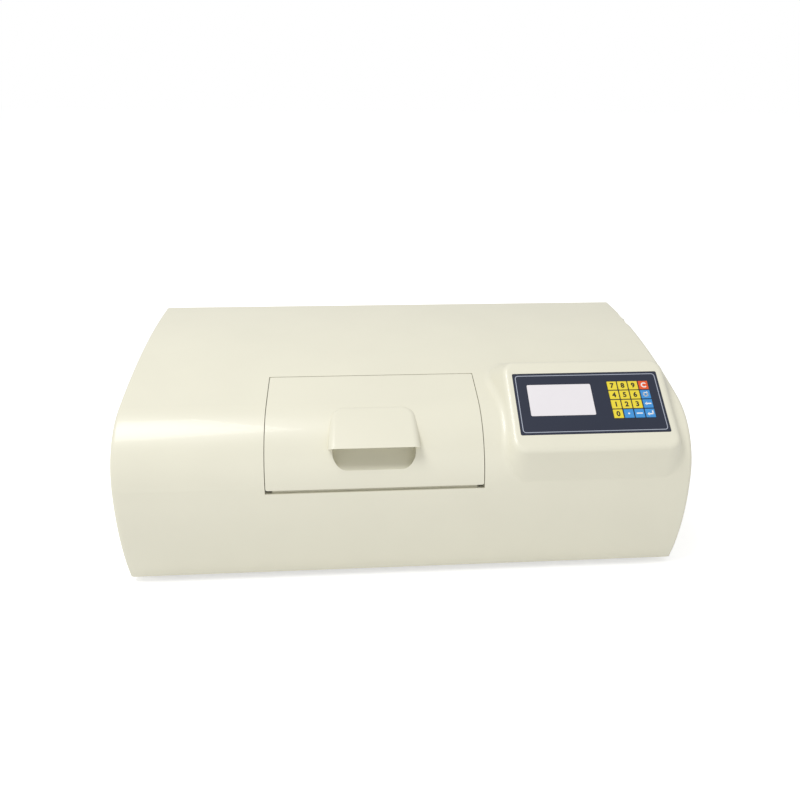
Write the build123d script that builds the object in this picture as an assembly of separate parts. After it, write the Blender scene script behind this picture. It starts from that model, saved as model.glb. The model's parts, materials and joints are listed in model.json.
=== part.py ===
from build123d import *
import math
import os

# Casing: sizes in millimetres, angles in degrees
case_width = 600.0
case_height = 220.0
case_depth = 289.5
wall = 3.0
foot_height = 8.0
end_edge_r = 4.5
fit_gap = 0.4
root = 0.5
over = 1.0
peg_sides = 12

# Side outline of the casing: headings of its three tangent arcs, from the bottom front edge to the top back edge
tuck_angle = 18.7
front_lean = 81.1
roof_slope = 15.8
back_slope = 0.4
shoulder_r = 82.5

# Sockets on the back stand this far out of the casing
socket_reach = 6.0

# Sheet metal
tray_sheet = 1.2
tray_height = 18.0
panel_sheet = 1.5
lip_width = 10.0
lip_thick = 3.0

# Chamber lid: its margins to the casing's ends, and its place and length along the casing's outline
lid_left_margin = 153.2
lid_right_margin = 222.4
lid_drop = 2.4
lid_length = 144.2
lid_wall = 2.8
lid_corner_r = 2.0
side_gap = 0.8
top_gap = 1.0
low_gap = 3.9

# Ledge that the lid closes on, and its soft seal
ledge_margin = 7.0
ledge_reach = 5.0
ledge_drop = 2.0
ledge_thick = 2.4
seal_gap = 0.3
seal_width = 3.4
notch_width = 7.0
notch_rise = 13.0

# Hinge: the pins lie below the skin and ahead of the top seam
pivot_ahead = 22.0
swing_gap = 4.0
pivot_drop = 5.5
pin_r = 1.5
pin_clearance = 0.05
lug_width = 9.0
lug_half = 7.0
lug_depth = 10.0
bracket_width = 12.0
bracket_gap = 1.2
pin_end = 2.0

# Handle hood and finger scoop on the lid
hood_shift = -0.9
hood_top_at = 85.7
hood_width_low = 95.0
hood_width_high = 89.0
hood_length = 51.0
hood_crown = 2.4
hood_edge_r = 7.0
hood_corner_r = 16.0
hood_wall = 2.8
hood_root_at = 40.7
scoop_low_at = 19.2
scoop_depth = 13.0
scoop_back = 14.0
scoop_side = 3.6
scoop_corner_r = 15.0

# Console: a raised desk on the right of the casing, placed by its margin and by the outline
console_margin = 105.5
console_tilt = 36.0
console_at = 81.3
console_rise = 9.56
console_width = 174.0
console_length = 105.5
console_shift = -1.45
console_corner_r = 12.0
console_edge_r = 7.0
console_foot_r = 9.0
console_side_draft = 28.0
console_front_draft = 31.4
console_back_draft = 31.0
console_depth = 50.0
console_end_gap = 1.0

# Front overlay, display and keys, in the console's own plane
overlay_width = 158.6
overlay_length = 73.4
overlay_thick = 0.8
overlay_corner_r = 1.5
overlay_gap = 0.3
display_x = -30.9
display_y = 3.9
display_width = 69.4
display_length = 37.8
display_thick = 4.2
display_gap = 0.15
display_corner_r = 1.5
module_border = 4.5
module_thick = 6.0
keys_x = 44.5
keys_y = 2.6
key_pitch_x = 11.5
key_pitch_y = 11.4
key_size = 10.1
key_gap = 0.3
key_proud = 0.4
key_flange = 10.8
key_flange_thick = 1.0
key_stem = 4.0
key_stem_length = 3.5
key_switch_size = 6.0
key_switch_gap = 0.8
keypad_margin = 0.5
console_board_width = 152.0
console_board_length = 74.0
board_thick = 1.6
board_hole_gap = 0.2
console_boss_r = 3.0
console_screw_r = 1.25
console_screw_head_r = 2.4
console_screw_head = 1.6
console_screw_length = 7.3

# Sample chamber: a black sheet tub under the lid
axis_y = 50.0
axis_drop = 116.0
liner_sheet = 1.2
liner_reach = 3.8
liner_front = 2.2
liner_back = 100.0
liner_drop = 32.8
liner_top_inset = 9.2
liner_hinge_inset = 13.0
light_hole_r = 9.0
ring_r = 14.0
ring_thick = 3.0
window_r = 10.0

# Sample trough for the tube
trough_gap = 5.0
trough_r = 16.0
trough_wall = 3.0
trough_rim = 7.0
trough_foot = 10.0

# Optical bench
bench_end_gap = 12.0
bench_width = 92.0
bench_plate = 7.0
bench_web = 6.0
bench_web_height = 12.0
bench_ribs = 7
bench_boss = 16.0
pillar_r = 8.0
pillar_inset = 40.0

# Light source and polariser, along the optical axis
lamp_at = 34.0
lamp_housing_half = 30.0
lamp_housing_wall = 1.5
lamp_housing_floor = 2.0
lamp_housing_height = 92.0
lamp_slot = 36.0
lamp_slot_width = 5.0
lamp_slot_pitch = 14.0
lamp_r = 11.0
lamp_length = 62.0
socket_size = 30.0
socket_height = 16.0
lens_tube_at = 66.0
lens_tube_length = 16.0
lens_r = 12.0
lens_thick = 5.0
snout_wall = 3.0
polariser_at = 86.0
polariser_length = 14.0
prism_size = 13.0
coil_at = 120.0
coil_length = 24.0
coil_bore_r = 7.0
coil_half = 20.0
coil_corner = 7.0
bobbin_wall = 2.0
bobbin_half = 23.0
bobbin_flange = 2.5
mount_wall = 6.0
mount_width = 44.0
mount_foot = 8.0
mount_foot_lap = 1.0

# Analyser wheel and the pinion that turns it
gear_module = 0.95
wheel_teeth = 64
pinion_teeth = 16
gear_width = 7.0
gear_backlash = 0.25
pressure_angle = 20.0
plate_gap = 8.6
plate_thick = 10.0
plate_width = 72.0
plate_head = 14.0
plate_foot_lap = 4.0
gear_gap = 4.0
hub_r = 14.0
hub_bore_r = 9.5
hub_lap = 2.0
analyser_length = 12.0
shaft_r = 3.0
shaft_seat = 6.0
pinion_lap = 0.5
motor_gap = 13.0
motor_size = 38.0
motor_corner = 4.0
motor_length = 46.0
motor_pilot = 3.0
motor_pilot_r = 7.9
motor_plate = 4.0
bracket_size = 42.0
bracket_corner = 10.0
bracket_foot = 18.0

# Detector
detector_gap = 20.0
detector_size = 48.0
detector_corner = 6.0
detector_foot = 66.0
detector_length = 66.0
snout_r = 15.0
snout_length = 24.0
filter_thick = 4.0

# Electronics behind the bench
main_board_margin = 150.0
boards_ahead = 89.5
main_board_width = 190.0
main_board_length = 104.0
board_inset = 8.0
standoff_height = 12.0
standoff_r = 3.5
sink_across = -49.0
sink_along = 30.0
sink_width = 44.0
sink_length = 40.0
sink_base = 4.0
sink_height = 34.0
sink_fins = 6
fin_thick = 2.0
board_capacitors = ((10, 35, 9, 32), (34, 35, 9, 32), (56, 36, 6, 22))
board_blocks = ((-10, -15, 30, 30), (35, -20, 22, 14), (65, -20, 14, 22), (-60, -35, 40, 9))
header_height = 5.0
transformer_margin = 110.0
transformer_width = 96.0
transformer_height = 80.0
core_length = 36.0
yoke_height = 15.0
winding_width = 60.0
winding_length = 60.0
strap_ear = 15.0
strap_thick = 2.5

# Back panel fittings
inlet_margin = 75.0
fittings_z = 58.0
inlet_width = 33.0
inlet_height = 44.0
inlet_flange = 2.5
inlet_rim = 2.0
inlet_depth = 22.0
inlet_recess = 16.0
switch_pitch = 45.0
switch_width = 16.0
switch_length = 31.0
switch_bezel = 2.0
switch_rim = 1.5
switch_depth = 20.0
rocker_width = 10.0
rocker_half = 10.5
rocker_tilt = 8.0
rocker_gap = 0.5
serial_margin = 85.0
serial_width = 31.0
serial_height = 12.5
serial_plate = 1.0
serial_body_width = 18.0
serial_body_height = 8.8
serial_depth = 9.0
jack_spacing = 25.0
jack_r = 2.7
jack_length = 4.5
socket_width = 17.0
socket_height = 8.2
socket_lean = 10.0
socket_corner = 1.2
vent_slot = 42.0
vent_slot_width = 4.0
vent_pitch = 10.0
vent_rows = 8
vent_rise = 37.0
vent_columns = (-95.0, 95.0)

# Feet and screws
foot_r = 14.0
foot_taper = 1.5
foot_seat = 4.0
foot_head_gap = 0.6
foot_margin = 45.0
foot_inset = 38.0
screw_r = 1.6
screw_head_r = 3.2
screw_head = 1.8
screw_length = 8.0
foot_screw_r = 2.0
foot_screw_head_r = 3.8
foot_screw_head = 2.4
foot_screw_end = 5.0
nut_r = 4.0
nut_height = 3.2


def sin(angle):
    return math.sin(math.radians(angle))


def cos(angle):
    return math.cos(math.radians(angle))


def tan(angle):
    return math.tan(math.radians(angle))


def outline_radii():
    """Radii of the front, shoulder and roof arcs that span the casing's depth and height."""
    front = (sin(headings[0]) - sin(headings[1]), cos(headings[1]) - cos(headings[0]))
    shoulder = (sin(headings[1]) - sin(headings[2]), cos(headings[2]) - cos(headings[1]))
    roof = (sin(headings[2]) - sin(headings[3]), cos(headings[3]) - cos(headings[2]))
    run = case_depth - shoulder_r * shoulder[0]
    rise = case_height - foot_height - shoulder_r * shoulder[1]
    span = front[0] * roof[1] - roof[0] * front[1]
    front_r = (run * roof[1] - roof[0] * rise) / span
    roof_r = (front[0] * rise - run * front[1]) / span
    return front_r, shoulder_r, roof_r


headings = (90 + tuck_angle, front_lean, roof_slope, back_slope)
radii = outline_radii()
front_bulge = radii[0] * (1 - sin(headings[0]))
overall_depth = front_bulge + case_depth + socket_reach
front_y = front_bulge - overall_depth / 2
back_y = front_y + case_depth
half_width = case_width / 2
tray_top = foot_height + tray_sheet

centres = []
corner = (front_y, foot_height)
for arc in range(3):
    centre = (corner[0] + radii[arc] * sin(headings[arc]), corner[1] - radii[arc] * cos(headings[arc]))
    centres.append(centre)
    corner = (centre[0] - radii[arc] * sin(headings[arc + 1]), centre[1] + radii[arc] * cos(headings[arc + 1]))
arc_lengths = [math.radians(headings[arc] - headings[arc + 1]) * radii[arc] for arc in range(3)]
outline_length = sum(arc_lengths)

# Places that follow from the sizes
lid_left = lid_left_margin - half_width
lid_right = half_width - lid_right_margin
lid_low = arc_lengths[0] - lid_drop
lid_high = lid_low + lid_length
hood_centre = (lid_left + lid_right) / 2 + hood_shift
hood_top = lid_low + hood_top_at
hood_root = lid_low + hood_root_at
scoop_low = lid_low + scoop_low_at
console_x = half_width - console_margin
liner_left = lid_left - liner_reach
liner_right = lid_right + liner_reach
optical_y = front_y + axis_y
axis_z = case_height - axis_drop
liner_floor = axis_z - liner_drop
bench_left = bench_end_gap - half_width
bench_right = half_width - bench_end_gap
lamp_x = bench_left + lamp_at
lens_tube_x = bench_left + lens_tube_at
polariser_x = bench_left + polariser_at
coil_x = bench_left + coil_at
plate_x = liner_right + plate_gap
gear_x = plate_x + plate_thick + gear_gap
motor_x = gear_x + gear_width + motor_gap
detector_x = motor_x + motor_length + detector_gap
main_board_x = half_width - main_board_margin
boards_y = back_y - boards_ahead
transformer_x = transformer_margin - half_width
inlet_x = inlet_margin - half_width
switch_x = inlet_x + switch_pitch
serial_x = half_width - serial_margin


def skin_place(length):
    """Arc and heading at a length along the casing's outer outline."""
    for arc in range(2):
        if length <= arc_lengths[arc]:
            return arc, headings[arc] - math.degrees(length / radii[arc])
        length -= arc_lengths[arc]
    return 2, headings[2] - math.degrees(length / radii[2])


def skin_point(length, inset=0.0):
    """Point (y, z) below the casing's outer surface, by length along the outline and depth."""
    arc, heading = skin_place(length)
    reach = radii[arc] - inset
    return centres[arc][0] - reach * sin(heading), centres[arc][1] + reach * cos(heading)


def skin_curve(start, end, inset=0.0):
    """Arcs that follow the casing's outline between two lengths."""
    joints = [arc_lengths[0], arc_lengths[0] + arc_lengths[1]]
    marks = [start] + [joint for joint in joints if start < joint < end] + [end]
    arcs = []
    for first, last in zip(marks, marks[1:]):
        middle = skin_point((first + last) / 2, inset)
        arcs.append(ThreePointArc(skin_point(first, inset), middle, skin_point(last, inset)))
    return arcs


def slab(edges, left, right):
    """Solid with a closed outline in (y, z), from one x to another."""
    face = Pos(left, 0, 0) * (Plane.YZ * make_face(edges))
    return extrude(face, right - left, dir=(1, 0, 0))


def skin_strip(start, end, left, right, near, far):
    """Curved strip between two depths below the casing's outer surface."""
    top = skin_curve(start, end, near)
    under = skin_curve(start, end, far)
    ends = [Line(skin_point(start, near), skin_point(start, far)), Line(skin_point(end, near), skin_point(end, far))]
    return slab(top + under + ends, left, right)


def block(x, y, z):
    """Box from its three (low, high) ranges."""
    return Pos((x[0] + x[1]) / 2, (y[0] + y[1]) / 2, (z[0] + z[1]) / 2) * Box(x[1] - x[0], y[1] - y[0], z[1] - z[0])


def rod(x, y, z, radius):
    """Cylinder along X."""
    middle = Pos((x[0] + x[1]) / 2, y, z) * Rot(0, 90, 0)
    return middle * Cylinder(radius, x[1] - x[0])


def bar(x, y, z, radius):
    """Cylinder along Y."""
    return Pos(x, (y[0] + y[1]) / 2, z) * Rot(90, 0, 0) * Cylinder(radius, y[1] - y[0])


def post(x, y, z, radius):
    """Upright cylinder."""
    return Pos(x, y, (z[0] + z[1]) / 2) * Cylinder(radius, z[1] - z[0])


def peg(radius):
    """Twelve-sided outline round or inside small repeated pins and holes."""
    return RegularPolygon(radius, peg_sides, rotation=180 / peg_sides)


def peg_bar(x, y, z, radius):
    """Many-sided pin along Y."""
    return Pos(x, (y[0] + y[1]) / 2, z) * Rot(90, 0, 0) * extrude(peg(radius), (y[1] - y[0]) / 2, both=True)


def peg_post(x, y, z, radius):
    """Upright many-sided pin."""
    return Pos(x, y, z[0]) * extrude(peg(radius), z[1] - z[0])


console_plane = Plane(
    origin=(console_x, *skin_point(lid_low + console_at, -console_rise)),
    x_dir=(1, 0, 0),
    z_dir=(0, -sin(console_tilt), cos(console_tilt)),
)


def console_section(depth, inset=0.0):
    """Rounded rectangle of the console at a depth below its top, drawn in by a wall."""
    side = depth * tan(console_side_draft) - inset / cos(console_side_draft)
    front = depth * tan(console_front_draft) - inset / cos(console_front_draft)
    back = depth * tan(console_back_draft) - inset / cos(console_back_draft)
    corner_r = console_corner_r + (side + front) / 2
    place = console_plane * Pos(0, console_shift + (back - front) / 2, -depth)
    return place * RectangleRounded(console_width + 2 * side, console_length + front + back, corner_r)


def console_form(inset=0.0):
    """Drafted body of the console, ended inside the casing's right wall."""
    body = loft([console_section(inset, inset), console_section(console_depth, inset)], ruled=True)
    if inset == 0:
        top = body.faces().sort_by(Axis(console_plane.origin, console_plane.z_dir))[-1]
        body = fillet(top.edges(), console_edge_r)
    reach = half_width - max(inset, console_end_gap)
    return body & block((0, reach), (front_y - console_depth, back_y), (0, case_height + console_depth))


def console_block(x, y, width, length, high, low, corner_r=0.0):
    """Block in the console's plane between two heights over its top."""
    outline = RectangleRounded(width, length, corner_r) if corner_r else Rectangle(width, length)
    return extrude(console_plane * Pos(x, y, low) * outline, high - low, dir=console_plane.z_dir)


def console_pin(x, y, high, low, radius):
    """Round peg in the console's plane between two heights over its top."""
    return extrude(console_plane * Pos(x, y, low) * peg(radius), high - low, dir=console_plane.z_dir)


def casing_body():
    """Outer form of the casing with rounded end edges."""
    rim = Polyline(skin_point(outline_length), (back_y, foot_height), (front_y, foot_height))
    body = slab(skin_curve(0, outline_length) + [rim], -half_width, half_width)
    ends = [e for e in body.edges().filter_by(GeomType.CIRCLE) if abs(abs(e.center().X) - half_width) < 0.01]
    return fillet(ends, end_edge_r)


def casing_cavity():
    """Space inside the casing's walls, open below and behind."""
    curve = skin_curve(0, outline_length, wall)
    start = curve[0] @ 0
    end = curve[-1] @ 1
    past = back_y + over
    rim = Polyline((end.X, end.Y), (past, end.Y), (past, 0), (start.X, 0), (start.X, start.Y))
    return slab(curve + [rim], wall - half_width, half_width - wall)


def on_skin(point):
    """Tells whether a point lies on the casing's outer outline."""
    for arc in range(3):
        across = point.Y - centres[arc][0]
        up = point.Z - centres[arc][1]
        heading = math.degrees(math.atan2(-across, up))
        if headings[arc + 1] - 0.01 <= heading <= headings[arc] + 0.01:
            if abs(math.hypot(across, up) - radii[arc]) < 0.01:
                return True
    return False


def lid_ledge():
    """Flange round the sides and foot of the lid's opening, with open corners at the foot."""
    left = lid_left - side_gap
    right = lid_right + side_gap
    low = lid_low - low_gap
    high = swing_start()
    surface = wall + ledge_drop
    under = surface + ledge_thick
    ring = skin_strip(low - ledge_margin, high, left - ledge_margin, right + ledge_margin, wall - root, under)
    ring -= skin_strip(low, high + over, left, right, -over, surface)
    inner_low = low + low_gap + ledge_reach
    ring -= skin_strip(inner_low, high + over, left + ledge_reach, right - ledge_reach, 0, under + over)
    for inner, outer in ((left, left + notch_width), (right - notch_width, right)):
        ring -= skin_strip(low, low + notch_rise, inner, outer, 0, under + over)
    return ring


def swing_start():
    """Length along the outline below which the lid's back end never swings."""
    return lid_high - 2 * pivot_ahead - swing_gap


def rear_lip():
    """Inner flange at the back that the rear panel is screwed to."""
    y = (back_y - panel_sheet - lip_thick, back_y - panel_sheet)
    edge = half_width - wall + root
    inner = half_width - wall - lip_width
    top = case_height - wall
    low = tray_top + tray_height
    lip = block((-edge, edge), y, (low, top + root))
    lip -= block((-inner, inner), (y[0] - over, y[1] + over), (low - over, top - lip_width))
    return lip


def rear_screw_places():
    """Centres (x, z) of the rear panel's screws."""
    side = half_width - wall - lip_width / 2
    top = case_height - wall - lip_width / 2
    places = [(x, top) for x in (-side, -side / 3, side / 3, side)]
    places += [(x, z) for x in (-side, side) for z in (tray_top + 2 * tray_height, (tray_top + top) / 2)]
    return places


def console_boss_places():
    """Centres of the bosses that carry the console's board."""
    across = console_board_width / 2 - 2 * console_boss_r
    along = console_board_length / 2 - 1.5 * console_boss_r
    return [(x, display_y + y) for x in (-across, across) for y in (-along, along)]


def key_places():
    """Names and centres of the keys, row by row from the top left."""
    rows = (
        ("key_7", "key_8", "key_9", "key_clear"),
        ("key_4", "key_5", "key_6", "key_repeat"),
        ("key_1", "key_2", "key_3", "key_back"),
        ("key_0", "key_point", "key_minus", "key_enter"),
    )
    places = {}
    for row, names in enumerate(rows):
        for column, name in enumerate(names):
            x = keys_x + (column - 1.5) * key_pitch_x
            y = keys_y + (1.5 - row) * key_pitch_y
            places[name] = (x, y)
    return places


def make_top_shell():
    """Moulded cover: three-arc skin, closed ends, blended console, lid opening, ledge and rear lip."""
    body = casing_body() + console_form()
    meeting = [e for e in body.edges() if e.geom_type != GeomType.LINE and on_skin(e @ 0.5)]
    meeting = [e for e in meeting if abs((e @ 0.5).X) < half_width - end_edge_r]
    body = fillet(meeting, console_foot_r)
    body -= casing_cavity()
    body -= console_form(wall)
    body += lid_ledge()
    body += rear_lip()
    opening = skin_strip(
        lid_low - low_gap, lid_high + top_gap, lid_left - side_gap, lid_right + side_gap, -over, wall
    )
    body -= opening
    recess_width = overlay_width + 2 * overlay_gap
    recess_length = overlay_length + 2 * overlay_gap
    recess_r = overlay_corner_r + overlay_gap
    body -= console_block(0, 0, recess_width, recess_length, over, -overlay_thick, recess_r)
    window_width = display_width + 2 * overlay_gap
    window_length = display_length + 2 * overlay_gap
    body -= console_block(display_x, display_y, window_width, window_length, 0, -wall - over)
    keypad_width = 4 * key_pitch_x + 2 * keypad_margin
    keypad_length = 4 * key_pitch_y + 2 * keypad_margin
    body -= console_block(keys_x, keys_y, keypad_width, keypad_length, 0, -wall - over)
    board_top = -display_thick - module_thick
    for x, y in console_boss_places():
        body += console_pin(x, y, root - wall, board_top, console_boss_r)
        body -= console_pin(x, y, -wall - over, board_top - over, console_screw_r + pin_clearance)
    for x, z in rear_screw_places():
        body -= peg_bar(x, (back_y - screw_length, back_y + over), z, screw_r + pin_clearance)
    return body


def make_base_tray():
    """Folded sheet tray that closes the underside, with the main board's standoffs pressed in."""
    x = half_width - wall - fit_gap
    front = skin_point(0, wall)[0] + fit_gap
    back = back_y - panel_sheet - fit_gap
    tray = block((-x, x), (front, back), (foot_height, tray_top + tray_height))
    inner = x - tray_sheet
    tray -= block((-inner, inner), (front + tray_sheet, back - tray_sheet), (tray_top, tray_top + tray_height + over))
    for x, y in foot_places():
        tray -= peg_post(x, y, (0, tray_top + over), foot_screw_r + pin_clearance)
    for x, y in main_board_posts():
        tray += peg_post(x, y, (tray_top - root, tray_top + standoff_height), standoff_r)
    return tray


def foot_places():
    """Centres of the feet."""
    x = half_width - foot_margin
    return [(side * x, y) for side in (-1, 1) for y in (front_y + foot_inset, back_y - foot_inset)]


def make_rubber_feet():
    """Four tapered feet with a counterbored screw hole."""
    feet = []
    for x, y in foot_places():
        foot = Pos(x, y, 0) * loft([peg(foot_r - foot_taper), Pos(0, 0, foot_height) * peg(foot_r)])
        foot -= peg_post(x, y, (-over, foot_height + over), foot_screw_r + pin_clearance)
        foot -= peg_post(x, y, (-over, foot_seat), foot_screw_head_r + foot_head_gap)
        feet.append(foot)
    return Compound(children=feet)


def make_foot_screws():
    """Screws that hold the feet to the tray, each with its nut."""
    screws = []
    for x, y in foot_places():
        screw = peg_post(x, y, (foot_seat - foot_screw_head, foot_seat), foot_screw_head_r)
        screw += peg_post(x, y, (foot_seat - root, tray_top + foot_screw_end), foot_screw_r)
        nut = Pos(x, y, tray_top) * extrude(RegularPolygon(nut_r, 6), nut_height)
        screws.append(screw + nut)
    return Compound(children=screws)


def make_rear_panel():
    """Sheet back panel with vents and the cut-outs for its fittings."""
    x = half_width - wall - fit_gap
    y = (back_y - panel_sheet, back_y)
    panel = block((-x, x), y, (tray_top + fit_gap, case_height - wall - fit_gap))
    through = (y[0] - over, y[1] + over)
    for column in vent_columns:
        for row in range(vent_rows):
            panel -= block(span(column, vent_slot), through, span(fittings_z + vent_rise + row * vent_pitch, vent_slot_width))
    panel -= block(span(inlet_x, inlet_body_width()), through, span(fittings_z, inlet_body_height()))
    panel -= block(span(switch_x, switch_body_width()), through, span(fittings_z, switch_body_length()))
    panel -= block(span(serial_x, serial_body_width + 2 * fit_gap), through, span(fittings_z, serial_body_height + 2 * fit_gap))
    for x, z in rear_screw_places():
        panel -= peg_bar(x, through, z, screw_r + pin_clearance)
    return panel


def span(middle, size):
    """Range of a size about its middle."""
    return middle - size / 2, middle + size / 2


def inlet_body_width():
    """Width of the panel's hole for the inlet."""
    return inlet_width - 2 * inlet_rim


def inlet_body_height():
    """Height of the panel's hole for the inlet."""
    return inlet_height - 2 * inlet_rim


def switch_body_width():
    """Width of the panel's hole for the switch."""
    return switch_width - 2 * switch_rim


def switch_body_length():
    """Height of the panel's hole for the switch."""
    return switch_length - 2 * switch_rim


def make_rear_panel_screws():
    """Pan-head screws of the rear panel."""
    screws = []
    for x, z in rear_screw_places():
        head = peg_bar(x, (back_y, back_y + screw_head), z, screw_head_r)
        screws.append(head + peg_bar(x, (back_y - screw_length, back_y + root), z, screw_r))
    return Compound(children=screws)


def hood_frame():
    """Point (y, z) on the skin at the hood's top end, and the heading of the skin there."""
    heading = skin_place(hood_top)[1]
    return skin_point(hood_top), heading


def hood_point(along, out):
    """Point (y, z) from the hood's top end: along the skin's tangent there, and out of it."""
    (y, z), heading = hood_frame()
    return y + along * cos(heading) - out * sin(heading), z + along * sin(heading) + out * cos(heading)


def hood_prism(width_low, width_high, low, high, low_r, high_r):
    """Tall prism over the lid with the hood's outline, which narrows towards the top."""
    (y, z), heading = hood_frame()
    plane = Plane(origin=(hood_centre, y, z), x_dir=(1, 0, 0), z_dir=(0, -sin(heading), cos(heading)))
    low_half = width_low / 2
    high_half = width_high / 2
    outline = make_face(Polyline((-low_half, low), (low_half, low), (high_half, high), (-high_half, high), close=True))
    upper = outline.vertices().sort_by(Axis.Y)[-2:]
    lower = outline.vertices().sort_by(Axis.Y)[:2]
    if high_r:
        outline = fillet(upper, high_r)
    if low_r:
        lower = outline.vertices().sort_by(Axis.Y)[:2]
        outline = fillet(lower, low_r)
    return extrude(plane * outline, 45, both=True)


def scoop_marks(offset=0.0):
    """Three points (y, z) of the scoop's floor: its lower rim, its deepest place and its back end."""
    middle = (scoop_low + hood_top) / 2
    rim = skin_point(scoop_low - offset, offset * 0.6)
    deep = skin_point(middle, scoop_depth + offset)
    back = hood_point(offset - scoop_back, -hood_wall - 0.8 - offset)
    return rim, deep, back


def make_chamber_lid():
    """Curved lid with its hooded handle, finger scoop and hinge lugs."""
    lid = skin_strip(lid_low, lid_high, lid_left, lid_right, 0, lid_wall)
    corners = [e for e in lid.edges().filter_by(GeomType.LINE) if abs(e.length - lid_wall) < 0.01]
    lid = fillet(corners, lid_corner_r)

    root = skin_point(hood_root)
    inner_root = skin_point(hood_root, 2.0)
    top_end = hood_point(6, hood_crown - 1.2)
    lip = hood_point(-hood_length, 0)
    roof = ThreePointArc(top_end, hood_point(-hood_length / 2 + 3, hood_crown), lip)
    sides = Polyline(lip, root, inner_root, hood_point(6, -9), top_end)
    left = hood_centre - hood_width_low / 2 - 1
    right = hood_centre + hood_width_low / 2 + 1
    hood = slab([roof, sides], left, right)
    hood &= hood_prism(hood_width_low, hood_width_high, -hood_length - 8, 6, 0, hood_corner_r)
    crown = [e for e in hood.edges() if hood_crown_edge(e)]
    hood = fillet(crown, hood_edge_r)

    rim, deep, back = scoop_marks(lid_wall)
    floor = ThreePointArc(rim, deep, back)
    cover = skin_curve(scoop_low, hood_top - 6, lid_wall / 2)
    closing = [Line(rim, skin_point(scoop_low, lid_wall / 2)), Line(back, skin_point(hood_top - 6, lid_wall / 2))]
    pocket = slab([floor] + cover + closing, left, right)
    grown = scoop_side - lid_wall
    pocket &= hood_prism(
        hood_width_low - 2 * grown, hood_width_high - 2 * grown, scoop_edge() - lid_wall, 0, scoop_corner_r, 12
    )

    rim, deep, back = scoop_marks()
    floor = ThreePointArc(rim, deep, back)
    front = hood_point(-hood_length - 20, -hood_wall)
    mouth = Polyline(back, hood_point(-scoop_back, -hood_wall), front, skin_point(scoop_low - 6, -12), rim)
    scoop = slab([floor, mouth], left, right)
    scoop &= hood_prism(
        hood_width_low - 2 * scoop_side, hood_width_high - 2 * scoop_side, scoop_edge(), -scoop_back,
        scoop_corner_r, 8
    )
    lid = lid + hood + pocket - scoop

    pivot = lid_pivot()
    for left, right in lug_spans():
        lug = skin_strip(pivot_length() - lug_half, pivot_length() + lug_half, left, right, lid_wall - 0.5, lug_depth)
        lid += lug - rod((left - 1, right + 1), pivot[0], pivot[1], pin_r + pin_clearance / 2)
    return lid


def scoop_edge():
    """Place of the scoop's lower rim along the hood's own direction."""
    (y, z), heading = hood_frame()
    rim = skin_point(scoop_low)
    return (rim[0] - y) * cos(heading) + (rim[1] - z) * sin(heading)


def hood_crown_edge(edge):
    """Tells whether an edge runs round the hood's roof, apart from its lip."""
    (y, z), heading = hood_frame()
    middle = edge @ 0.5
    along = (middle.Y - y) * cos(heading) + (middle.Z - z) * sin(heading)
    out = (middle.Z - z) * cos(heading) - (middle.Y - y) * sin(heading)
    return out > -0.6 and along > 0.5 - hood_length


def pivot_length():
    """Length along the outline at which the lid turns."""
    return lid_high - pivot_ahead


def lid_pivot():
    """Hinge axis (y, z)."""
    return skin_point(pivot_length(), pivot_drop)


def lug_spans():
    """Left and right x of each hinge lug."""
    return (lid_left + 1, lid_left + 1 + lug_width), (lid_right - 1 - lug_width, lid_right - 1)


def bracket_spans():
    """Left and right x of each hinge bracket, beyond the opening."""
    near = side_gap + bracket_gap
    return (lid_left - near - bracket_width, lid_left - near), (lid_right + near, lid_right + near + bracket_width)


def make_lid_pins():
    """Hinge pins, fixed in the lid's lugs."""
    y, z = lid_pivot()
    left_lug, right_lug = lug_spans()
    left_bracket, right_bracket = bracket_spans()
    left_pin = rod((left_bracket[0] + 2, left_lug[1] - 1), y, z, pin_r)
    right_pin = rod((right_lug[0] + 1, right_bracket[1] - 2), y, z, pin_r)
    return Compound(children=[left_pin, right_pin])


def make_hinge_brackets():
    """Blocks under the skin beside the opening that the pins turn in."""
    y, z = lid_pivot()
    brackets = []
    for left, right in bracket_spans():
        bracket = skin_strip(pivot_length() - 8, pivot_length() + 8, left, right, wall, lug_depth + 1)
        brackets.append(bracket - rod((left - 1, right + 1), y, z, pin_r + pin_clearance))
    return Compound(children=brackets)


def make_lid_seal():
    """Soft strips on the ledge that keep light out."""
    left = lid_left - side_gap
    right = lid_right + side_gap
    low = lid_low + 0.8
    top = lid_high - 2 * pivot_ahead - 5
    near = lid_wall + seal_gap
    far = wall + ledge_drop
    side_low = lid_low - low_gap + notch_rise + 1
    strips = [
        skin_strip(side_low, top, left + 1, left + 1 + seal_width, near, far),
        skin_strip(side_low, top, right - 1 - seal_width, right - 1, near, far),
        skin_strip(low, low + seal_width, left + notch_width + 1, right - notch_width - 1, near, far),
    ]
    return Compound(children=strips)


def make_overlay_panel():
    """Front sheet of the console, with its display window and key holes."""
    sheet = console_block(0, 0, overlay_width, overlay_length, 0, -overlay_thick, overlay_corner_r)
    window = (display_x, display_y, display_width, display_length)
    sheet -= console_block(*window, over, -overlay_thick - over, display_corner_r)
    hole = key_size + 2 * key_gap
    for x, y in key_places().values():
        sheet -= console_block(x, y, hole, hole, over, -overlay_thick - over)
    return sheet


def make_display_glass():
    """Face of the display, level with the overlay."""
    width = display_width - 2 * display_gap
    length = display_length - 2 * display_gap
    return console_block(display_x, display_y, width, length, 0, -display_thick, display_corner_r)


def make_display_module():
    """Frame of the display behind the console's top."""
    width = display_width + 2 * module_border
    length = display_length + 2 * module_border
    low = -display_thick - module_thick
    return console_block(display_x, display_y, width, length, -display_thick, low)


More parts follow.
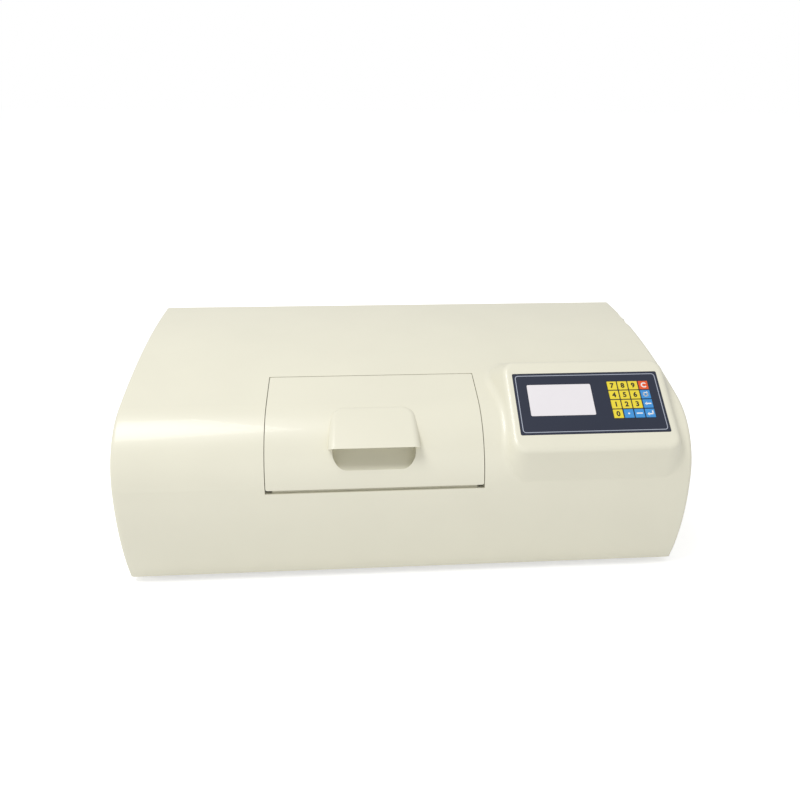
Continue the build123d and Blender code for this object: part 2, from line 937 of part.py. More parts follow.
def make_console_board():
    """Circuit board that carries the display and the switches under the keys."""
    top = -display_thick - module_thick
    board = console_block(0, display_y, console_board_width, console_board_length, top, top - board_thick)
    switch_top = -key_reach() - key_switch_gap
    for x, y in key_places().values():
        board += console_block(x, y, key_switch_size, key_switch_size, switch_top, top - root)
    for x, y in console_boss_places():
        board -= console_pin(x, y, top + over, top - board_thick - over, console_screw_r + board_hole_gap)
    return board


def key_reach():
    """Depth of a key's stem below the console's top."""
    return overlay_thick + key_gap + key_flange_thick + key_stem_length


def make_console_screws():
    """Screws that hold the board to the console's bosses."""
    under = -display_thick - module_thick - board_thick
    screws = []
    for x, y in console_boss_places():
        screw = console_pin(x, y, under, under - console_screw_head, console_screw_head_r)
        screws.append(screw + console_pin(x, y, under + console_screw_length, under - root, console_screw_r))
    return Compound(children=screws)


def make_key(x, y):
    """Key cap with the flange that holds it under the overlay and its stem."""
    flange_top = -overlay_thick - key_gap
    cap = console_block(x, y, key_size, key_size, key_proud, flange_top)
    cap += console_block(x, y, key_flange, key_flange, flange_top, flange_top - key_flange_thick)
    cap += console_block(x, y, key_stem, key_stem, flange_top - root, -key_reach())
    return cap


def liner_outline(grow):
    """Closed outline (y, z) of the tub's ends: floor, front, back and the edge under the lid."""
    front = front_y + liner_front - grow
    back = front_y + liner_back + grow
    floor = liner_floor - grow
    turn = lid_high - 2 * pivot_ahead - 2
    first = lid_low - low_gap - ledge_margin + 2
    last = lid_high - 3
    curve = skin_curve(first, turn, liner_top_inset)
    hinge_curve = skin_curve(turn, last, liner_hinge_inset)
    step = Line(skin_point(turn, liner_top_inset), skin_point(turn, liner_hinge_inset))
    start = skin_point(first, liner_top_inset)
    end = skin_point(last, liner_hinge_inset)
    rest = Polyline(end, (back, end[1]), (back, floor), (front, floor), (front, start[1]), start)
    return curve + [step] + hinge_curve + [rest]


def make_chamber_liner():
    """Black sheet tub of the sample chamber, open towards the lid."""
    tub = slab(liner_outline(liner_sheet), liner_left - liner_sheet, liner_right + liner_sheet)
    inner_y = (front_y + liner_front, front_y + liner_back)
    tub -= block((liner_left, liner_right), inner_y, (liner_floor, case_height))
    tub -= rod((liner_left - 5, liner_right + 5), optical_y, axis_z, light_hole_r)
    return tub


def make_window_rings():
    """Rings round the light holes, inside the tub."""
    rings = []
    for place in window_spans():
        rings.append(rod(place, optical_y, axis_z, ring_r) - rod(place, optical_y, axis_z, window_r + pin_clearance))
    return Compound(children=rings)


def window_spans():
    """Range in x of each ring and its window, against the tub's ends."""
    return (liner_left, liner_left + ring_thick), (liner_right - ring_thick, liner_right)


def make_chamber_windows():
    """Clear windows that shield the optics from the chamber."""
    return Compound(children=[rod(place, optical_y, axis_z, window_r) for place in window_spans()])


def make_sample_trough():
    """Half-round trough on two long feet that holds the sample tube on the optical axis."""
    outer_r = trough_r + trough_wall
    length = (liner_left + trough_gap, liner_right - trough_gap)
    past = (length[0] - over, length[1] + over)
    rim = outer_r + trough_rim
    trough = rod(length, optical_y, axis_z, outer_r)
    trough += block(length, span(optical_y, 2 * rim), (axis_z - trough_wall, axis_z))
    for side in (-1, 1):
        web = optical_y + side * (outer_r - trough_wall)
        trough += block(length, span(web, trough_wall), (liner_floor, axis_z - trough_wall))
        foot = optical_y + side * (outer_r + trough_foot / 2 - trough_wall)
        trough += block(length, span(foot, trough_foot), (liner_floor, liner_floor + trough_wall))
    trough -= block(past, span(optical_y, 2 * rim + 2 * over), (axis_z, axis_z + outer_r + over))
    return trough - rod(past, optical_y, axis_z, trough_r)


def make_optical_bench():
    """Cast bench: a plate on two webs with cross ribs, which carries the optics in line."""
    top = bench_level()
    under = top - bench_plate - bench_web_height
    height = (under, top - bench_plate)
    plate = block((bench_left, bench_right), span(optical_y, bench_width), (top - bench_plate, top))
    for side in (-1, 1):
        web = optical_y + side * (bench_width - bench_web) / 2
        plate += block((bench_left, bench_right), span(web, bench_web), height)
    for rib in range(bench_ribs):
        x = bench_left + bench_web / 2 + rib * (bench_right - bench_left - bench_web) / (bench_ribs - 1)
        plate += block(span(x, bench_web), span(optical_y, bench_width), height)
    for x, y in bench_pillar_places():
        plate += block(span(x, bench_boss), span(y, bench_boss), height)
    return plate


def bench_pillar_places():
    """Centres of the bench's pillars."""
    middle = (bench_left + bench_right) / 2
    reach = (bench_width - bench_boss) / 2
    across = (bench_left + pillar_inset, middle, bench_right - pillar_inset)
    return [(x, optical_y + side * reach) for x in across for side in (-1, 1)]


def make_bench_pillars():
    """Six-sided pillars that hold the bench over the tray."""
    height = bench_level() - bench_plate - bench_web_height - tray_top
    pillar = extrude(RegularPolygon(pillar_r, 6), height)
    return Compound(children=[Pos(x, y, tray_top) * pillar for x, y in bench_pillar_places()])


def bench_level():
    """Top of the bench, which the tub's floor rests on."""
    return liner_floor - liner_sheet


def optic_mount(x, length, half):
    """Block on a wide foot, about the optical axis."""
    low = bench_level()
    mount = block((x, x + length), span(optical_y, 2 * half), (low, axis_z + half))
    foot = (x - mount_foot_lap, x + length + mount_foot_lap)
    return mount + block(foot, span(optical_y, mount_width), (low, low + mount_foot))


def make_lamp_housing():
    """Square lamp house with a light port towards the optics and slots in its cap."""
    low = bench_level()
    high = low + lamp_housing_height
    size = 2 * lamp_housing_half
    house = block(span(lamp_x, size), span(optical_y, size), (low, high))
    hollow = size - 2 * lamp_housing_wall
    inner = (low + lamp_housing_floor, high - lamp_housing_wall)
    house -= block(span(lamp_x, hollow), span(optical_y, hollow), inner)
    house -= rod((lamp_x, lamp_x + lamp_housing_half + over), optical_y, axis_z, light_hole_r)
    for slot in (-1, 0, 1):
        x = lamp_x + slot * lamp_slot_pitch
        house -= block(span(x, lamp_slot_width), span(optical_y, lamp_slot), (inner[1] - over, high + over))
    return house


def make_lamp_socket():
    """Ceramic socket of the lamp."""
    base = bench_level() + lamp_housing_floor
    return block(span(lamp_x, socket_size), span(optical_y, socket_size), (base, base + socket_height))


def make_spectral_lamp():
    """Lamp bulb standing in its socket."""
    base = bench_level() + lamp_housing_floor + socket_height
    return post(lamp_x, optical_y, (base, base + lamp_length), lamp_r)


def make_lens_tube():
    """Mount of the condenser lens."""
    mount = optic_mount(lens_tube_x, lens_tube_length, lens_r + mount_wall)
    return mount - rod((lens_tube_x - over, lens_tube_x + lens_tube_length + over), optical_y, axis_z, lens_r)


def make_condenser_lens():
    """Lens in its mount."""
    middle = lens_tube_x + lens_tube_length / 2
    return rod(span(middle, lens_thick), optical_y, axis_z, lens_r - pin_clearance)


def make_polariser_mount():
    """Mount of the polarising prism, with a square seat."""
    seat = prism_size + 2 * pin_clearance
    mount = optic_mount(polariser_x, polariser_length, seat / 2 + mount_wall)
    through = (polariser_x - over, polariser_x + polariser_length + over)
    return mount - block(through, span(optical_y, seat), span(axis_z, seat))


def make_polariser_prism():
    """Polarising prism."""
    middle = polariser_x + polariser_length / 2
    return block(span(middle, prism_size), span(optical_y, prism_size), span(axis_z, prism_size))


def make_modulator_bobbin():
    """Bobbin of the modulator, whose square flanges stand on the bench."""
    spool = rod(span(coil_x, coil_length), optical_y, axis_z, coil_bore_r + bobbin_wall)
    for side in (-1, 1):
        middle = coil_x + side * (coil_length - bobbin_flange) / 2
        height = (bench_level(), axis_z + bobbin_half)
        spool += block(span(middle, bobbin_flange), span(optical_y, 2 * bobbin_half), height)
    return spool - rod(span(coil_x, coil_length + 2 * over), optical_y, axis_z, coil_bore_r)


def make_modulator_coil():
    """Winding of the modulator, square like its flanges."""
    width = coil_length - 2 * bobbin_flange - 2 * pin_clearance
    coil = block(span(coil_x, width), span(optical_y, 2 * coil_half), span(axis_z, 2 * coil_half))
    coil = chamfer(coil.edges().filter_by(Axis.X), coil_corner)
    return coil - rod(span(coil_x, coil_length), optical_y, axis_z, coil_bore_r + bobbin_wall + pin_clearance)


def gear_outline(teeth, turn=0.0):
    """Outline of a spur gear with involute flanks about the origin."""
    pitch_r = gear_module * teeth / 2
    base_r = pitch_r * cos(pressure_angle)
    tip_r = pitch_r + 0.95 * gear_module
    root_r = pitch_r - 1.25 * gear_module
    thickness = 90.0 / teeth - math.degrees(gear_backlash / 2 / pitch_r)

    def involute(radius):
        angle = math.acos(min(1.0, base_r / radius))
        return math.degrees(math.tan(angle) - angle)

    half = thickness + involute(pitch_r)
    low_r = max(base_r, root_r)
    stations = (low_r, tip_r)
    points = []
    for tooth in range(teeth):
        middle = turn + 360.0 * tooth / teeth
        flank = [(radius, half - involute(radius)) for radius in stations]
        flank = [(root_r, flank[0][1])] + flank if root_r < low_r - 0.01 else flank
        for radius, angle in flank:
            points.append((radius * cos(middle - angle), radius * sin(middle - angle)))
        for radius, angle in reversed(flank):
            points.append((radius * cos(middle + angle), radius * sin(middle + angle)))
    return make_face(Polyline(*points, close=True))


def pinion_z():
    """Height of the pinion's axis, straight over the wheel's."""
    return axis_z + gear_module * (wheel_teeth + pinion_teeth) / 2


def make_analyser_wheel():
    """Toothed wheel whose hollow hub carries the analyser prism."""
    face = Plane.YZ * gear_outline(wheel_teeth, 90)
    wheel = Pos(gear_x, optical_y, axis_z) * extrude(face, gear_width, dir=(1, 0, 0))
    hub = (plate_x - hub_lap, gear_x + gear_width + hub_lap)
    wheel += rod(hub, optical_y, axis_z, hub_r)
    return wheel - rod((hub[0] - over, hub[1] + over), optical_y, axis_z, hub_bore_r)


def make_analyser_prism():
    """Analyser in the wheel's hub."""
    start = plate_x + hub_lap
    return rod((start, start + analyser_length), optical_y, axis_z, hub_bore_r - pin_clearance)


def make_analyser_plate():
    """Bearing plate of the analyser wheel and of the pinion's shaft."""
    top = pinion_z() + plate_head
    plate = block((plate_x, plate_x + plate_thick), span(optical_y, plate_width), (bench_level(), top))
    plate = chamfer(plate.edges().filter_by(Axis.X).sort_by(Axis.Z)[-2:], plate_head)
    foot = bench_level() + mount_foot
    plate += block((plate_x - plate_foot_lap, plate_x + root), span(optical_y, plate_width), (bench_level(), foot))
    through = (plate_x - plate_foot_lap - over, plate_x + plate_thick + over)
    plate -= rod(through, optical_y, axis_z, hub_r + pin_clearance)
    return plate - rod(through, optical_y, pinion_z(), shaft_r + pin_clearance)


def make_drive_pinion():
    """Pinion and its shaft, which is the motor's."""
    face = Plane.YZ * gear_outline(pinion_teeth, 180.0 / pinion_teeth - 90)
    start = gear_x - pinion_lap
    pinion = Pos(start, optical_y, pinion_z()) * extrude(face, gear_width + 2 * pinion_lap, dir=(1, 0, 0))
    return pinion + rod((plate_x + over, motor_x + shaft_seat), optical_y, pinion_z(), shaft_r)


def make_motor_bracket():
    """Upright plate that carries the motor, with a hole for the light."""
    low = bench_level()
    plate_span = (motor_x - motor_plate, motor_x)
    plate = block(plate_span, span(optical_y, bracket_size), (low, pinion_z() + bracket_size / 2))
    plate = chamfer(plate.edges().filter_by(Axis.X).sort_by(Axis.Z)[-2:], bracket_corner)
    foot = (motor_x - motor_plate, motor_x + bracket_foot)
    plate += block(foot, span(optical_y, bracket_size), (low, low + motor_plate))
    through = (motor_x - motor_plate - over, motor_x + over)
    plate -= rod(through, optical_y, axis_z, hub_bore_r)
    return plate - rod(through, optical_y, pinion_z(), motor_pilot_r + pin_clearance)


def make_servo_motor():
    """Square motor that turns the pinion."""
    body = block((motor_x, motor_x + motor_length), span(optical_y, motor_size), span(pinion_z(), motor_size))
    body = chamfer(body.edges().filter_by(Axis.X), motor_corner)
    body += rod((motor_x - motor_pilot, motor_x + root), optical_y, pinion_z(), motor_pilot_r)
    bore = (motor_x - motor_pilot - over, motor_x + shaft_seat + over)
    return body - rod(bore, optical_y, pinion_z(), shaft_r + pin_clearance)


def make_detector_housing():
    """Closed housing of the light detector with its snout, standing on the bench."""
    end = detector_x + detector_length
    body = block((detector_x, end), span(optical_y, detector_size), (bench_level(), axis_z + detector_size / 2))
    body = chamfer(body.edges().filter_by(Axis.X).sort_by(Axis.Z)[-2:], detector_corner)
    body += block((detector_x, end), span(optical_y, detector_foot), (bench_level(), bench_level() + mount_foot))
    start = detector_x - snout_length
    body += rod((start, detector_x + root), optical_y, axis_z, snout_r)
    return body - rod((start - over, detector_x - filter_thick), optical_y, axis_z, snout_r - snout_wall)


def make_light_filter():
    """Coloured filter disc in the detector's snout."""
    end = detector_x - filter_thick
    return rod((end - filter_thick, end), optical_y, axis_z, snout_r - snout_wall - pin_clearance)


def main_board_posts():
    """Centres of the main board's standoffs."""
    x = main_board_width / 2 - board_inset
    y = main_board_length / 2 - board_inset
    return [(main_board_x + i * x, boards_y + j * y) for i in (-1, 1) for j in (-1, 1)]


def make_main_board():
    """Main board with its heat sink, capacitors and headers."""
    z = tray_top + standoff_height
    y = boards_y
    board = block(span(main_board_x, main_board_width), span(y, main_board_length), (z, z + board_thick))
    top = z + board_thick
    sink_y = span(y + sink_along, sink_length)
    board += block(span(main_board_x + sink_across, sink_width), sink_y, (top - root, top + sink_base))
    for fin in range(sink_fins):
        x = main_board_x + sink_across + (fin - (sink_fins - 1) / 2) * (sink_width - fin_thick) / (sink_fins - 1)
        board += block(span(x, fin_thick), sink_y, (top - root, top + sink_height))
    for x, along, radius, height in board_capacitors:
        board += peg_post(main_board_x + x, y + along, (top - root, top + height), radius)
    for x, along, width, length in board_blocks:
        board += block(span(main_board_x + x, width), span(y + along, length), (top - root, top + header_height))
    return board


def make_mains_transformer():
    """Laminated core with its winding on a mounting strap."""
    core_y = span(boards_y, core_length)
    core = block(span(transformer_x, transformer_width), core_y, (tray_top, tray_top + transformer_height))
    winding_z = (tray_top + yoke_height, tray_top + transformer_height - yoke_height)
    core += block(span(transformer_x, winding_width), span(boards_y, winding_length), winding_z)
    strap = transformer_width + 2 * strap_ear
    return core + block(span(transformer_x, strap), core_y, (tray_top, tray_top + strap_thick))


def make_power_inlet():
    """Appliance inlet with three pins and a fuse drawer over it."""
    front = back_y + inlet_flange
    inlet = block(span(inlet_x, inlet_width), (back_y, front), span(fittings_z, inlet_height))
    corners = inlet.edges().filter_by(Axis.Y)
    inlet = fillet(corners, 2.5)
    body_x = span(inlet_x, inlet_body_width() - 2 * fit_gap)
    body_z = span(fittings_z, inlet_body_height() - 2 * fit_gap)
    inlet += block(body_x, (back_y - 22, back_y + 1), body_z)
    recess_z = fittings_z - inlet_height / 2 + 3.2 + 9.8
    half = 13.0
    outline = make_face(
        Polyline((-half, -9.8), (half, -9.8), (half, 4.6), (half - 5, 9.8), (5 - half, 9.8), (-half, 4.6), close=True)
    )
    recess = Plane.XZ * outline
    inlet -= Pos(inlet_x, front, recess_z) * extrude(recess, inlet_recess, dir=(0, -1, 0))
    inlet -= block(span(inlet_x, 26), (front - 1, front + 1), span(fittings_z + inlet_height / 2 - 9.5, 11))
    drawer = block(span(inlet_x, 25), (front - 1.2, front - 0.2), span(fittings_z + inlet_height / 2 - 9.5, 10))
    inlet += drawer
    for x, z in ((-7, -2.5), (7, -2.5), (0, 3.5)):
        size = (2, 4)
        pin_y = (front - inlet_recess - 0.5, front - 2.5)
        inlet += block(span(inlet_x + x, size[0]), pin_y, span(recess_z + z, size[1]))
    return inlet


def rocker_axis():
    """Rocker's pivot (y, z) in the switch frame."""
    return back_y + switch_bezel - 3.0, fittings_z


def make_power_switch():
    """Frame of the mains switch with the hollow that its rocker tips in."""
    y, z = rocker_axis()
    front = back_y + switch_bezel
    frame = block(span(switch_x, switch_width), (back_y, front), span(fittings_z, switch_length))
    frame = fillet(frame.edges().filter_by(Axis.Y), 1.5)
    body_x = span(switch_x, switch_body_width() - 2 * fit_gap)
    body_z = span(fittings_z, switch_body_length() - 2 * fit_gap)
    frame += block(body_x, (back_y - 20, back_y + 0.5), body_z)
    hollow = 2 * (rocker_reach() + rocker_gap)
    frame -= block(span(switch_x, rocker_width + 2 * fit_gap), (y - 9, front + 1), span(fittings_z, hollow))
    return frame - rod(span(switch_x, rocker_width + 2.4), y, z, 1.2 + pin_clearance)


def rocker_reach():
    """Farthest point of the rocker from its pivot."""
    return math.hypot(rocker_half, 5.0)


def make_power_rocker():
    """Rocker with a hollowed face, tipped to its off side, and its pivot stubs."""
    y, z = rocker_axis()
    outline = [
        Polyline((2.0, -rocker_half), (5.0, -rocker_half), (3.2, 0), (5.0, rocker_half), (2.0, rocker_half)),
        ThreePointArc((2.0, rocker_half), (-5.5, 0), (2.0, -rocker_half)),
    ]
    face = make_face(outline)
    left = -rocker_width / 2
    body = extrude(Pos(left, 0, 0) * (Plane.YZ * face), rocker_width, dir=(1, 0, 0))
    body += rod(span(0, rocker_width + 2), 0, 0, 1.2)
    return Pos(switch_x, y, z) * Rot(-rocker_tilt, 0, 0) * body


def make_serial_port():
    """Nine-way socket with its shell and two jack posts."""
    front = back_y + serial_plate
    plate = block(span(serial_x, serial_width), (back_y, front), span(fittings_z, serial_height))
    top = socket_width / 2
    bottom = top - socket_height * tan(socket_lean)
    high = socket_height / 2
    outline = make_face(Polyline((-top, high), (top, high), (bottom, -high), (-bottom, -high), close=True))
    outline = chamfer(outline.vertices(), socket_corner)
    shell = extrude(Plane.XZ * outline, socket_reach - root, dir=(0, 1, 0))
    plate += Pos(serial_x, back_y + root, fittings_z) * shell
    depth = (back_y - serial_depth, back_y + root)
    plate += block(span(serial_x, serial_body_width), depth, span(fittings_z, serial_body_height))
    for side in (-1, 1):
        nut = Plane.XZ * Pos(serial_x + side * jack_spacing / 2, fittings_z, 0) * RegularPolygon(jack_r, 6)
        plate += extrude(Pos(0, back_y + root, 0) * nut, jack_length, dir=(0, 1, 0))
    return plate


def all_pieces():
    """Every piece by name."""
    pieces = {
        "top_shell": make_top_shell(),
        "base_tray": make_base_tray(),
        "rear_panel": make_rear_panel(),
        "rear_panel_screws": make_rear_panel_screws(),
        "rubber_feet": make_rubber_feet(),
        "foot_screws": make_foot_screws(),
        "chamber_lid": make_chamber_lid(),
        "lid_pins": make_lid_pins(),
        "hinge_brackets": make_hinge_brackets(),
        "lid_seal": make_lid_seal(),
        "overlay_panel": make_overlay_panel(),
        "display_glass": make_display_glass(),
        "display_module": make_display_module(),
        "console_board": make_console_board(),
        "console_screws": make_console_screws(),
        "chamber_liner": make_chamber_liner(),
        "window_rings": make_window_rings(),
        "chamber_windows": make_chamber_windows(),
        "sample_trough": make_sample_trough(),
        "optical_bench": make_optical_bench(),
        "bench_pillars": make_bench_pillars(),
        "lamp_housing": make_lamp_housing(),
        "lamp_socket": make_lamp_socket(),
        "spectral_lamp": make_spectral_lamp(),
        "lens_tube": make_lens_tube(),
        "condenser_lens": make_condenser_lens(),
        "polariser_mount": make_polariser_mount(),
        "polariser_prism": make_polariser_prism(),
        "modulator_bobbin": make_modulator_bobbin(),
        "modulator_coil": make_modulator_coil(),
        "analyser_plate": make_analyser_plate(),
        "analyser_wheel": make_analyser_wheel(),
        "analyser_prism": make_analyser_prism(),
        "drive_pinion": make_drive_pinion(),
        "motor_bracket": make_motor_bracket(),
        "servo_motor": make_servo_motor(),
        "detector_housing": make_detector_housing(),
        "light_filter": make_light_filter(),
        "main_board": make_main_board(),
        "mains_transformer": make_mains_transformer(),
        "power_inlet": make_power_inlet(),
        "power_switch": make_power_switch(),
        "power_rocker": make_power_rocker(),
        "serial_port": make_serial_port(),
    }
    for name, (x, y) in key_places().items():
        pieces[name] = make_key(x, y)
    return pieces


os.makedirs("parts", exist_ok=True)
for name, piece in all_pieces().items():
    export_step(piece, f"parts/{name}.step")
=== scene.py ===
import json
import math

import bmesh
import bpy
from mathutils import Matrix, Vector


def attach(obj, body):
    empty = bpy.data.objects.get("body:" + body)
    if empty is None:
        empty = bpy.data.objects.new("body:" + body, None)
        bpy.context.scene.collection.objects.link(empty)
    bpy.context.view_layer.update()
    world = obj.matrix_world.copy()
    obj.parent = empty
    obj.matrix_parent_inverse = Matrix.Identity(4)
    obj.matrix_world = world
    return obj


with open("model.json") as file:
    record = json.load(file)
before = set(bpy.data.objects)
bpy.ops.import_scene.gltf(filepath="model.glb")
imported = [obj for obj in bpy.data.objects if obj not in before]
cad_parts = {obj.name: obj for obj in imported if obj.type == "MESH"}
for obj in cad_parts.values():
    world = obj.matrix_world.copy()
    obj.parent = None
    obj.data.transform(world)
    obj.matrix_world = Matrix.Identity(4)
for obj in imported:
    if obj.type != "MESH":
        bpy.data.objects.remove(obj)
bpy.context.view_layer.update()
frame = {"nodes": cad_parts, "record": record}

MM = 0.001

# View of the photograph: angles in degrees, place in metres, lens in millimetres
VIEW_YAW = 4.27
VIEW_PITCH = 24.62
VIEW_ROLL = -0.52
VIEW_PLACE = Vector((-0.05656, -0.76669, 0.49820))
VIEW_LENS = 31.5

# Light: strengths, and lamps as place, size in metres and power in watts, all aimed at one point
WORLD_STRENGTH = 0.56
LAMP_AIM = (0, 0, 0.1)
LAMPS = {
    "key_lamp": ((-0.9, -0.45, 2.2), 1.0, 26.0),
    "fill_lamp": ((0.2, -2.0, 0.5), 1.6, 5.0),
}
FLOOR_HALF = 12.0
FLOOR_DROP = 0.0003
FLOOR_GREY = 0.90
FLOOR_GLOW = 0.5

# Console's own plane, in metres and degrees, and what lies on it, in millimetres
CONSOLE_PLACE = Vector((0.1945, -0.110395, 0.188995))
CONSOLE_TILT = 36.0
OVERLAY_SIZE = (158.6, 73.4)
BORDER_INSET = 2.4
BORDER_WIDTH = 0.8
BORDER_CORNER = 3.5
PRINT_RISE = 0.05
KEYS_CENTRE = (44.5, 2.6)
KEY_PITCH = (11.5, 11.4)
KEY_TOP = 0.4
KEY_SIGN_RISE = 0.06
DIGIT_SIZE = 8.0
DIGIT_BOLD = 0.3
SIGN_SIZE = 6.8
ARROW_LENGTH = 2.4
ARROW_HALF = 2.0
POINT_RADIUS = 1.1
REPEAT_RADIUS = 2.2
THIN_LINE = 1.25
MIDDLE_LINE = 1.4
THICK_LINE = 1.5

# Sizes of the painted shade in the screw slots and the serial socket's pin holes, and of the marks on
# the rocker, at the back, in millimetres
MARK_RISE = 0.04
SCREW_MARK = (4.4, 0.9)
ROCKER_MARK_HALF = 5.0 / 3
ROCKER_BAR = 0.9
ROCKER_RING = 0.8
SOCKET_PITCH = 2.76
SOCKET_HOLE_R = 0.6
SOCKET_ROWS = ((5, 1.4), (4, -1.4))


def srgb(red, green, blue):
    """Linear colour from the 0 to 255 values of a picture."""
    linear = []
    for value in (red, green, blue):
        share = value / 255
        linear.append(share / 12.92 if share <= 0.04045 else ((share + 0.055) / 1.055) ** 2.4)
    return (*linear, 1.0)


def tone(colour, factor):
    """Colour made lighter or darker by a factor."""
    return (*(min(1.0, part * factor) for part in colour[:3]), 1.0)


def node(tree, kind, **inputs):
    """New shader node with its inputs set; a name's spaces are written as underscores."""
    made = tree.nodes.new(kind)
    for name, value in inputs.items():
        made.inputs[name.replace("_", " ")].default_value = value
    return made


def surface(
    name, colour, roughness, mottle=0.03, mottle_scale=14.0, grain=0.02, grain_scale=900.0, **settings
):
    """Procedural material: slow colour variation, uneven gloss and a fine grain in relief."""
    made = bpy.data.materials.new(name)
    made.use_nodes = True
    tree = made.node_tree
    shader = tree.nodes["Principled BSDF"]
    for socket, value in settings.items():
        shader.inputs[socket.replace("_", " ")].default_value = value
    place = tree.nodes.new("ShaderNodeTexCoord")

    cloud = node(tree, "ShaderNodeTexNoise", Scale=mottle_scale, Detail=3.0)
    tree.links.new(place.outputs["Object"], cloud.inputs["Vector"])
    colours = tree.nodes.new("ShaderNodeValToRGB")
    colours.color_ramp.elements[0].position = 0.3
    colours.color_ramp.elements[0].color = tone(colour, 1 - mottle)
    colours.color_ramp.elements[1].position = 0.7
    colours.color_ramp.elements[1].color = tone(colour, 1 + mottle)
    tree.links.new(cloud.outputs["Fac"], colours.inputs["Fac"])
    tree.links.new(colours.outputs["Color"], shader.inputs["Base Color"])

    speck = node(tree, "ShaderNodeTexNoise", Scale=grain_scale, Detail=2.0)
    tree.links.new(place.outputs["Object"], speck.inputs["Vector"])
    gloss = node(tree, "ShaderNodeMapRange", To_Min=roughness * 0.88, To_Max=min(1.0, roughness * 1.12))
    tree.links.new(speck.outputs["Fac"], gloss.inputs["Value"])
    tree.links.new(gloss.outputs["Result"], shader.inputs["Roughness"])
    relief = node(tree, "ShaderNodeBump", Strength=grain, Distance=0.0004)
    tree.links.new(speck.outputs["Fac"], relief.inputs["Height"])
    tree.links.new(relief.outputs["Normal"], shader.inputs["Normal"])
    return made


def brushed(name, colour, roughness, stretch):
    """Metal with fine lines along one axis."""
    made = surface(name, colour, roughness, grain=0.05, Metallic=1.0)
    tree = made.node_tree
    place = next(n for n in tree.nodes if n.type == "TEX_COORD")
    speck = [n for n in tree.nodes if n.type == "TEX_NOISE"][1]
    lines = node(tree, "ShaderNodeMapping", Scale=stretch)
    tree.links.new(place.outputs["Object"], lines.inputs["Vector"])
    tree.links.new(lines.outputs["Vector"], speck.inputs["Vector"])
    return made


cream = surface(
    "cream_moulding", srgb(233, 230, 211), 0.34,
    mottle=0.012, grain=0.05, Coat_Weight=0.15,
)
paint = surface(
    "painted_sheet", srgb(214, 212, 196), 0.5,
    mottle=0.015, grain=0.35, grain_scale=1400.0,
)
zinc = brushed("screw_steel", srgb(196, 197, 198), 0.32, (1.0, 1.0, 6.0))
rubber = surface("foot_rubber", srgb(34, 34, 35), 0.75, mottle=0.1, grain=0.3)
foam = surface("seal_foam", srgb(40, 40, 41), 0.95, mottle=0.15, grain=0.8, grain_scale=500.0)
film = surface(
    "overlay_film", srgb(34, 41, 60), 0.45,
    mottle=0.035, mottle_scale=30.0, grain=0.12,
)
screen = surface(
    "display_face", srgb(236, 232, 235), 0.22,
    mottle=0.01, mottle_scale=40.0, grain=0.01,
)
yellow = surface("yellow_key", srgb(238, 217, 58), 0.42, mottle=0.03, grain=0.15)
orange = surface("orange_key", srgb(234, 90, 38), 0.42, mottle=0.03, grain=0.15)
blue = surface("blue_key", srgb(64, 148, 216), 0.42, mottle=0.03, grain=0.15)
board = surface(
    "circuit_board", srgb(30, 98, 58), 0.4,
    mottle=0.18, mottle_scale=120.0, grain=0.2,
)
dark = surface("dark_plastic", srgb(42, 42, 44), 0.45, mottle=0.06, grain=0.25)
black = surface("black_sheet", srgb(27, 27, 29), 0.7, mottle=0.1, grain=0.4, grain_scale=1500.0)
casting = surface(
    "cast_bench", srgb(150, 152, 155), 0.5,
    mottle=0.06, grain=0.5, grain_scale=700.0, Metallic=0.85,
)
turned = brushed("turned_metal", srgb(190, 192, 194), 0.35, (8.0, 1.0, 1.0))
brass = brushed("gear_brass", srgb(200, 165, 90), 0.3, (1.0, 5.0, 5.0))
copper = surface(
    "copper_wire", srgb(176, 98, 52), 0.35,
    mottle=0.08, grain=0.6, grain_scale=2500.0, Metallic=0.9,
)
glass = surface(
    "clear_glass", srgb(235, 242, 245), 0.05,
    mottle=0.01, grain=0.0, Transmission_Weight=0.92, IOR=1.5,
)
ceramic = surface("lamp_ceramic", srgb(230, 227, 214), 0.3, mottle=0.03, grain=0.1)
core = surface(
    "core_steel", srgb(84, 84, 86), 0.55,
    mottle=0.1, grain=0.5, grain_scale=1800.0, Metallic=0.6,
)
print_silver = surface(
    "printed_silver", srgb(176, 182, 196), 0.4,
    mottle=0.05, mottle_scale=200.0, grain=0.1,
)
print_dark = surface(
    "printed_dark", srgb(38, 35, 26), 0.5,
    mottle=0.08, mottle_scale=300.0, grain=0.1,
)
print_white = surface(
    "printed_white", srgb(238, 240, 240), 0.5,
    mottle=0.02, mottle_scale=300.0, grain=0.1,
)
# Painted shade: near-black laid flat where the screw slots and the socket's pin holes are dark inside
hollow_shade = surface("painted_shade_in_hollows", srgb(16, 16, 17), 0.6, mottle=0.1, grain=0.2)

BLUE_KEYS = ("key_repeat", "key_back", "key_point", "key_minus", "key_enter")
FINISHES = {
    "cream_moulding": cream, "painted_sheet": paint, "screw_steel": zinc, "foot_rubber": rubber,
    "seal_foam": foam, "overlay_film": film, "display_face": screen, "yellow_key": yellow,
    "orange_key": orange, "blue_key": blue, "circuit_board": board, "dark_plastic": dark,
    "black_sheet": black, "cast_bench": casting, "turned_metal": turned, "gear_brass": brass,
    "copper_wire": copper, "clear_glass": glass, "lamp_ceramic": ceramic, "core_steel": core,
}


def dress_nodes():
    """Gives each CAD node the finish of its material slot."""
    slots = {entry["node"]: entry["material_slot"] for entry in frame["record"]["subparts"]}
    for name, piece in frame["nodes"].items():
        piece.data.materials.clear()
        piece.data.materials.append(FINISHES[slots[name]])


def keep(name, mesh, material, body):
    """Adds a mesh as a piece that rides on a body."""
    mesh.materials.clear()
    mesh.materials.append(material)
    piece = bpy.data.objects.new(name, mesh)
    bpy.context.scene.collection.objects.link(piece)
    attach(piece, body)
    return piece


